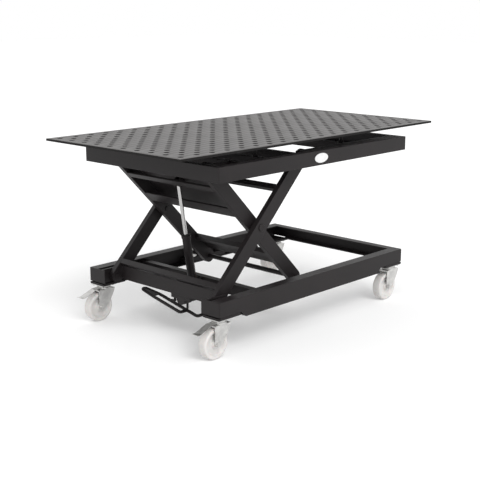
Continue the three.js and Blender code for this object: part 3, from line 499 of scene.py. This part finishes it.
def finish_node(name, node):
    slot = SLOT_OF[name]
    mesh = node.data
    mesh.materials.clear()
    mesh.materials.append(LOOK[slot])
    if "custom_normal" in mesh.attributes:
        mesh.attributes.remove(mesh.attributes["custom_normal"])
    for face in mesh.polygons:
        face.use_smooth = True
    weld = node.modifiers.new("weld", "WELD")
    weld.merge_threshold = WELD_DISTANCE
    flat = node.modifiers.new("flat", "DECIMATE")
    flat.decimate_type = "DISSOLVE"
    flat.angle_limit = math.radians(0.5)
    width = LEG_EDGE if name in ROUND_EDGES else EDGE_BREAK.get(slot, OTHER_EDGE)
    add_bevel(node, width)


for node_name, node_object in frame["nodes"].items():
    finish_node(node_name, node_object)


# Table top

def make_top():
    """The plate as a filled outline with round holes, and a small chamfer on every edge."""
    low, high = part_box("table_top")
    curve = bpy.data.curves.new("perforated_top", "CURVE")
    curve.dimensions = "2D"
    curve.fill_mode = "BOTH"
    curve.extrude = (high.z - low.z) / 2 - HOLE_CHAMFER
    curve.bevel_depth = HOLE_CHAMFER
    curve.bevel_resolution = 1
    curve.offset = -HOLE_CHAMFER
    corners = [(low.x, low.y), (high.x, low.y), (high.x, high.y), (low.x, high.y)]
    edge = curve.splines.new("POLY")
    edge.points.add(len(corners) - 1)
    for point, (x, y) in zip(edge.points, corners):
        point.co = (x, y, 0, 1)
    edge.use_cyclic_u = True
    columns = round((high.x - low.x - 2 * HOLE_MARGIN) / HOLE_STEP) + 1
    rows = round((high.y - low.y - 2 * HOLE_MARGIN) / HOLE_STEP) + 1
    for i in range(columns):
        for j in range(i % 2, rows, 2):
            x = low.x + HOLE_MARGIN + i * HOLE_STEP
            y = low.y + HOLE_MARGIN + j * HOLE_STEP
            ring = curve.splines.new("POLY")
            ring.points.add(HOLE_SEGMENTS - 1)
            for k, point in enumerate(ring.points):
                angle = 2 * math.pi * k / HOLE_SEGMENTS
                across = HOLE_DIAMETER / 2 * math.cos(angle)
                along = HOLE_DIAMETER / 2 * math.sin(angle)
                point.co = (x + across, y + along, 0, 1)
            ring.use_cyclic_u = True
    shape = bpy.data.objects.new("perforated_top_outline", curve)
    bpy.context.scene.collection.objects.link(shape)
    solid = shape.evaluated_get(bpy.context.evaluated_depsgraph_get())
    bm = bmesh.new()
    bm.from_mesh(solid.to_mesh())
    solid.to_mesh_clear()
    bpy.data.objects.remove(shape)
    bmesh.ops.remove_doubles(bm, verts=bm.verts, dist=MERGE_DISTANCE)
    bmesh.ops.translate(bm, verts=bm.verts, vec=(0, 0, (low.z + high.z) / 2))
    plate = add_piece("perforated_top", bm, "deck", "top_steel", replaces="table_top")
    plate.data.materials.append(HOLE_SHADE)
    # Faces that do not face up (edges, underside and hole walls) take the near-black painted shade
    for face in plate.data.polygons:
        if face.normal.z < FACES_UP:
            face.material_index = 1


make_top()


# Hydraulic cylinder

def eye_profile(radius, half):
    """The section of an eye: a ring with its outer edges broken."""
    return [
        (EYE_HOLE_RADIUS, -half), (radius - EDGE, -half), (radius, EDGE - half),
        (radius, half - EDGE), (radius - EDGE, half), (EYE_HOLE_RADIUS, half),
    ]


def make_cylinder():
    foot = Vector(JOINTS["barrel_pivot"]["pos_m"])
    head = Vector(JOINTS["rod_pivot"]["pos_m"])
    axis = (head - foot).normalized()
    stand = placed(foot, axis)
    across = placed(foot, (0, 1, 0))
    gland = BARREL_LENGTH - GLAND_HEIGHT
    bore = ROD_RADIUS + BORE_CLEARANCE
    bm = bmesh.new()
    add_turned(bm, [
        (0, TUBE_START), (TUBE_START_SHARE * BARREL_RADIUS, TUBE_START),
        (BARREL_RADIUS, TUBE_START + TUBE_CHAMFER), (BARREL_RADIUS, gland - 2 * EDGE),
        (BARREL_RADIUS - EDGE, gland - EDGE), (GLAND_RADIUS - EDGE, gland), (GLAND_RADIUS, gland + EDGE),
        (GLAND_RADIUS, BARREL_LENGTH - GLAND_EDGE), (GLAND_RADIUS - GLAND_EDGE, BARREL_LENGTH),
        (bore, BARREL_LENGTH), (bore, BORE_FLOOR), (0, BORE_FLOOR),
    ], stand)
    add_turned(bm, eye_profile(BARREL_EYE_RADIUS, BARREL_EYE_HALF_WIDTH), across)
    add_piece("cylinder_tube", bm, "cylinder_barrel", "frame_paint", replaces="cylinder_barrel")
    bm = bmesh.new()
    inside = ROD_RADIUS + SEAL_INSIDE
    outside = ROD_RADIUS + SEAL_OUTSIDE
    top = BARREL_LENGTH
    add_turned(bm, [
        (inside, top), (outside, top), (outside - EDGE, top + SEAL_SHOULDER),
        (inside + EDGE, top + SEAL_HEIGHT),
    ], stand)
    add_piece("wiper_seal", bm, "cylinder_barrel", "frame_paint", look=RUBBER)
    make_rod(head, axis)
    make_feed_pipe(foot, axis)


def make_rod(head, axis):
    hang = placed(head, axis)
    bm = bmesh.new()
    add_turned(bm, [
        (0, -ROD_LENGTH), (ROD_RADIUS - EDGE, -ROD_LENGTH), (ROD_RADIUS, EDGE - ROD_LENGTH),
        (ROD_RADIUS, -ROD_TOP), (0, -ROD_TOP),
    ], hang)
    add_piece("chromed_rod", bm, "piston_rod", "chrome", replaces="piston_rod")
    bm = bmesh.new()
    add_turned(bm, eye_profile(ROD_EYE_RADIUS, ROD_EYE_HALF_WIDTH), placed(head, (0, 1, 0)))
    add_piece("rod_eye", bm, "piston_rod", "frame_paint")


def make_feed_pipe(foot, axis):
    """A thin pipe up the free side of the barrel, with a union at each end."""
    side = axis.cross(Vector((0, 1, 0))).normalized()
    if side.x < 0:
        side = -side
    entry = side * BARREL_RADIUS * PIPE_ENTRY
    out = side * (BARREL_RADIUS + PIPE_STANDOFF)
    low = foot + axis * PIPE_LOW
    high = foot + axis * PIPE_HIGH
    path = rounded_path([low + entry, low + out, high + out, high + entry], PIPE_BEND)
    bm = bmesh.new()
    add_bar(bm, path, PIPE_RADIUS, sides=12)
    for point in (low, high):
        matrix = placed(point + side * (BARREL_RADIUS - UNION_SINK), side)
        add_prism(bm, hexagon(UNION_ACROSS), matrix, 0, UNION_LENGTH)
    add_piece("feed_pipe", bm, "cylinder_barrel", "frame_paint", look=COPPER)


make_cylinder()


# Foot pedal

def make_pedal():
    pivot = Vector(JOINTS["pedal_press"]["pos_m"])
    tip = Matrix.Translation((0, pivot.y, pivot.z)) @ Matrix.Rotation(PEDAL_TILT, 4, "X")
    corners = [
        (PEDAL_SHAFT_END_X, 0), (PEDAL_BACK_X, 0), (PEDAL_BACK_X, TREAD_START),
        (PEDAL_TIP_X + TIP_HALF_WIDTH, PEDAL_REACH), (PEDAL_TIP_X - TIP_HALF_WIDTH, PEDAL_REACH),
        (PEDAL_FRONT_X, TREAD_START), (PEDAL_FRONT_X, PEDAL_LOOP_START), (PEDAL_BACK_X, PEDAL_LOOP_START),
    ]
    path = rounded_path([tip @ Vector((x, y, 0)) for x, y in corners], PEDAL_BEND, steps=8)
    bm = bmesh.new()
    add_bar(bm, path, PEDAL_BAR_RADIUS)
    outline = [
        (PEDAL_BACK_X, TREAD_START), (PEDAL_TIP_X + TIP_HALF_WIDTH, PEDAL_REACH - TREAD_INSET),
        (PEDAL_TIP_X - TIP_HALF_WIDTH, PEDAL_REACH - TREAD_INSET), (PEDAL_FRONT_X, TREAD_START),
    ]
    add_prism(bm, list(reversed(outline)), tip, TREAD_BOTTOM, TREAD_TOP)
    add_piece("pedal_bar", bm, "pump_pedal", "frame_paint", replaces="pump_pedal", bevel=0.6 * MM)


make_pedal()


# Casters

def make_wheel(corner):
    axle = Vector(JOINTS[f"roll_{corner}"]["pos_m"])
    side = [(radius * MM, half * MM) for radius, half in WHEEL_SIDE]
    side += [(axle.z - depth * MM, half * MM) for depth, half in WHEEL_TREAD]
    profile = [(radius, -half) for radius, half in side] + list(reversed(side))
    bm = bmesh.new()
    add_turned(bm, profile, placed(axle, (0, 1, 0)), segments=72)
    node = f"caster_wheel_{corner}"
    add_piece(f"nylon_wheel_{corner}", bm, f"wheel_{corner}", "wheel_nylon", replaces=node)


def make_fork_details(corner):
    """The bearing rings round the neck."""
    swivel = Vector(JOINTS[f"swivel_{corner}"]["pos_m"])
    profile = [(radius * MM, RACE_BOTTOM + height * MM) for radius, height in RACE_PROFILE]
    bm = bmesh.new()
    add_turned(bm, profile, placed((swivel.x, swivel.y, 0), (0, 0, 1)), segments=56)
    add_piece(f"swivel_race_{corner}", bm, f"fork_{corner}", "zinc")


def make_plate_nuts(corner):
    low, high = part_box(f"caster_plate_{corner}")
    middle = (low + high) / 2
    bm = bmesh.new()
    for x in (-NUT_SPACING_X, NUT_SPACING_X):
        for y in (-NUT_SPACING_Y, NUT_SPACING_Y):
            seat = placed((middle.x + x, middle.y + y, low.z + PLATE_NUT_SINK), (0, 0, -1))
            add_hex_bolt(bm, seat, PLATE_NUT_ACROSS, PLATE_NUT_HEIGHT)
    add_piece(f"plate_nuts_{corner}", bm, "base", "zinc")


def make_brake(corner):
    """A lever of bent sheet with slightly turned-down sides."""
    low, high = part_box(f"caster_brake_{corner}")
    y = (low.y + high.y) / 2
    x = Vector(JOINTS[f"swivel_{corner}"]["pos_m"]).x
    spine = rounded_path([(x + out * MM, 0, up * MM) for out, up in BRAKE_LINE], BRAKE_BEND)
    half = BRAKE_HALF_WIDTH
    sheet = BRAKE_SHEET
    section = [
        (-half, -BRAKE_EDGE_DROP), (-half + sheet, 0), (half - sheet, 0), (half, -BRAKE_EDGE_DROP),
    ]
    bm = bmesh.new()
    rings = []
    for i, point in enumerate(spine):
        ahead = spine[min(i + 1, len(spine) - 1)] - spine[max(i - 1, 0)]
        up = Vector((0, 1, 0)).cross(ahead).normalized()
        if up.z < 0:
            up = -up
        ring = []
        for v, w in section:
            ring.append(Vector((point.x, y + v, point.z)) + up * (w + sheet / 2))
        for v, w in reversed(section):
            ring.append(Vector((point.x, y + v * BRAKE_UNDERSIDE, point.z)) + up * (w - sheet / 2))
        rings.append([bm.verts.new(corner_point) for corner_point in ring])
    count = len(rings[0])
    for one, two in zip(rings, rings[1:]):
        for k in range(count):
            bm.faces.new((one[k], one[(k + 1) % count], two[(k + 1) % count], two[k]))
    bm.faces.new(list(reversed(rings[0])))
    bm.faces.new(rings[-1])
    node = f"caster_brake_{corner}"
    add_piece(f"brake_lever_{corner}", bm, f"brake_{corner}", "zinc", replaces=node, bevel=0.5 * MM)


for caster in CORNERS:
    make_wheel(caster)
    make_fork_details(caster)
    make_plate_nuts(caster)
for caster in BRAKED:
    make_brake(caster)


# Small hardware on the frame

def make_pivot_caps():
    """Turned caps over the pin ends at the scissor's centre and on the lower brackets."""
    centre = Vector(JOINTS["scissor_centre"]["pos_m"])
    lift = Vector(JOINTS["lift"]["pos_m"])
    floor = CAP_HEIGHT - CAP_DISH_DEPTH
    cap = [
        (0, 0), (CAP_RADIUS, 0), (CAP_RADIUS, CAP_HEIGHT - CAP_CHAMFER),
        (CAP_RADIUS - CAP_CHAMFER, CAP_HEIGHT), (CAP_DISH_RADIUS, CAP_HEIGHT),
        (CAP_DISH_RADIUS - CAP_DISH_DEPTH, floor), (0, floor),
    ]
    for side, sign in SIDES.items():
        bm = bmesh.new()
        seat = placed((centre.x, sign * OUTER_LEG_FACE, centre.z), (0, sign, 0))
        add_turned(bm, cap, seat, segments=40)
        add_piece(f"centre_cap_{side}", bm, "outer_legs", "frame_paint")
        bm = bmesh.new()
        seat = placed((lift.x, sign * BRACKET_FACE, lift.z), (0, sign, 0))
        add_turned(bm, cap, seat, segments=40)
        add_piece(f"bracket_cap_{side}", bm, "base", "frame_paint")


def make_post_nuts():
    """Lock nuts at the foot of the levelling posts."""
    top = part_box("upper_cross_pump")[1].z
    bm = bmesh.new()
    for member in ("upper_cross_left", "upper_cross_right"):
        low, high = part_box(member)
        x = (low.x + high.x) / 2
        for y in POST_Y:
            seat = placed((x, y, top), (0, 0, 1))
            add_prism(bm, hexagon(POST_NUT_ACROSS), seat, POST_NUT_GAP, POST_NUT_HEIGHT)
    add_piece("post_nuts", bm, "deck", "frame_paint", bevel=0.8 * MM)


def make_end_lip():
    """The rolled lip along the top of the end plate."""
    low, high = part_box("lower_end_plate")
    outline = [
        (low.x, high.z - LIP_OVERLAP), (low.x + LIP_THICKNESS, high.z - LIP_OVERLAP),
        (low.x + LIP_THICKNESS, high.z + LIP_HEIGHT), (low.x, high.z + LIP_HEIGHT),
    ]
    bm = bmesh.new()
    add_prism(bm, outline, ALONG_Y, low.y, high.y)
    add_piece("end_plate_lip", bm, "base", "frame_paint", bevel=1.2 * MM)


def make_badge():
    """A bare oval plate with a raised rim."""
    low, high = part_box("badge")
    middle = (low + high) / 2
    half_length = (high.x - low.x) / 2
    half_height = (high.z - low.z) / 2
    depth = high.y - low.y
    bm = bmesh.new()
    rings = []
    for inset, level in BADGE_STEPS:
        ring = []
        for k in range(BADGE_SEGMENTS):
            angle = 2 * math.pi * k / BADGE_SEGMENTS
            ring.append(bm.verts.new((
                middle.x + (half_length - inset * MM) * math.cos(angle), high.y - level * depth,
                middle.z + (half_height - inset * MM) * math.sin(angle),
            )))
        rings.append(ring)
    for one, two in zip(rings, rings[1:]):
        for k in range(BADGE_SEGMENTS):
            j = (k + 1) % BADGE_SEGMENTS
            bm.faces.new((one[k], one[j], two[j], two[k]))
    bm.faces.new(rings[0])
    bm.faces.new(rings[-1])
    add_piece("oval_badge", bm, "deck", "badge", replaces="badge")


make_pivot_caps()
make_post_nuts()
make_end_lip()
make_badge()


# Floor, light and camera

FLOOR_HALF = 30.0
SHADOW_SHARE = 0.8
SKY_LIGHT = 0.85
FLOOR_TONE = 0.98
KEY_DIRECTION = (0.3, 1.0, -1.0)
KEY_STRENGTH = 1.6
KEY_SOFTNESS = 35
RIM_DIRECTION = (0.22, -0.66, -0.72)
RIM_STRENGTH = 0.25
RIM_SOFTNESS = 30
CAMERA_PLACE = (-4.051, -3.778, 1.723)
CAMERA_YAW = math.radians(46.35)
CAMERA_PITCH = math.radians(13.5)
CAMERA_LENS = 76.2
CAMERA_SENSOR = 36


def add_seen(nodes, links):
    """A value that is 1 for what the camera, a mirror or a pane of glass sees, and 0 for other light."""
    path = nodes.new("ShaderNodeLightPath")
    seen = path.outputs["Is Camera Ray"]
    for ray in ("Is Glossy Ray", "Is Transmission Ray"):
        either = nodes.new("ShaderNodeMath")
        either.operation = "MAXIMUM"
        links.new(seen, either.inputs[0])
        links.new(path.outputs[ray], either.inputs[1])
        seen = either.outputs[0]
    return seen


def make_floor():
    """A pale matte floor that glows a little where it is seen, so that it meets the white."""
    bm = bmesh.new()
    corners = [(-1, -1), (1, -1), (1, 1), (-1, 1)]
    bm.faces.new([bm.verts.new((x * FLOOR_HALF, y * FLOOR_HALF, 0)) for x, y in corners])
    mesh = bpy.data.meshes.new("studio_floor")
    bm.to_mesh(mesh)
    bm.free()
    material = bpy.data.materials.new("studio_floor")
    material.use_nodes = True
    nodes = material.node_tree.nodes
    links = material.node_tree.links
    nodes.remove(nodes["Principled BSDF"])
    matte = nodes.new("ShaderNodeBsdfDiffuse")
    matte.inputs["Color"].default_value = (FLOOR_TONE, FLOOR_TONE, FLOOR_TONE, 1)
    glow = nodes.new("ShaderNodeEmission")
    glow.inputs["Strength"].default_value = 1.0
    share = nodes.new("ShaderNodeMath")
    share.operation = "MULTIPLY"
    share.inputs[1].default_value = 1 - SHADOW_SHARE
    mix = nodes.new("ShaderNodeMixShader")
    links.new(add_seen(nodes, links), share.inputs[0])
    links.new(share.outputs[0], mix.inputs[0])
    links.new(matte.outputs[0], mix.inputs[1])
    links.new(glow.outputs[0], mix.inputs[2])
    links.new(mix.outputs[0], nodes["Material Output"].inputs["Surface"])
    mesh.materials.append(material)
    floor = bpy.data.objects.new("studio_floor", mesh)
    bpy.context.scene.collection.objects.link(floor)


def make_sky():
    """White to the camera, to mirrors and to glass, and a softer fill for everything else."""
    world = bpy.data.worlds.new("studio")
    bpy.context.scene.world = world
    world.use_nodes = True
    nodes = world.node_tree.nodes
    links = world.node_tree.links
    sky = nodes["Background"]
    sky.inputs["Color"].default_value = (1, 1, 1, 1)
    level = nodes.new("ShaderNodeMapRange")
    level.inputs["To Min"].default_value = SKY_LIGHT
    level.inputs["To Max"].default_value = 1.0
    links.new(add_seen(nodes, links), level.inputs["Value"])
    links.new(level.outputs["Result"], sky.inputs["Strength"])


def add_sun(name, direction, strength, softness):
    sun = bpy.data.lights.new(name, "SUN")
    sun.energy = strength
    sun.angle = math.radians(softness)
    sun_object = bpy.data.objects.new(name, sun)
    bpy.context.scene.collection.objects.link(sun_object)
    sun_object.rotation_euler = Vector(direction).to_track_quat("-Z", "Y").to_euler()


def make_camera():
    level = math.cos(CAMERA_PITCH)
    look = Vector((math.sin(CAMERA_YAW) * level, math.cos(CAMERA_YAW) * level, -math.sin(CAMERA_PITCH)))
    data = bpy.data.cameras.new("photo_camera")
    data.lens = CAMERA_LENS
    data.sensor_width = CAMERA_SENSOR
    camera = bpy.data.objects.new("photo_camera", data)
    bpy.context.scene.collection.objects.link(camera)
    camera.location = CAMERA_PLACE
    camera.rotation_euler = look.to_track_quat("-Z", "Y").to_euler()
    bpy.context.scene.camera = camera


make_floor()
make_sky()
add_sun("key", KEY_DIRECTION, KEY_STRENGTH, KEY_SOFTNESS)
add_sun("rim", RIM_DIRECTION, RIM_STRENGTH, RIM_SOFTNESS)
make_camera()
bpy.context.scene.view_settings.view_transform = "Standard"
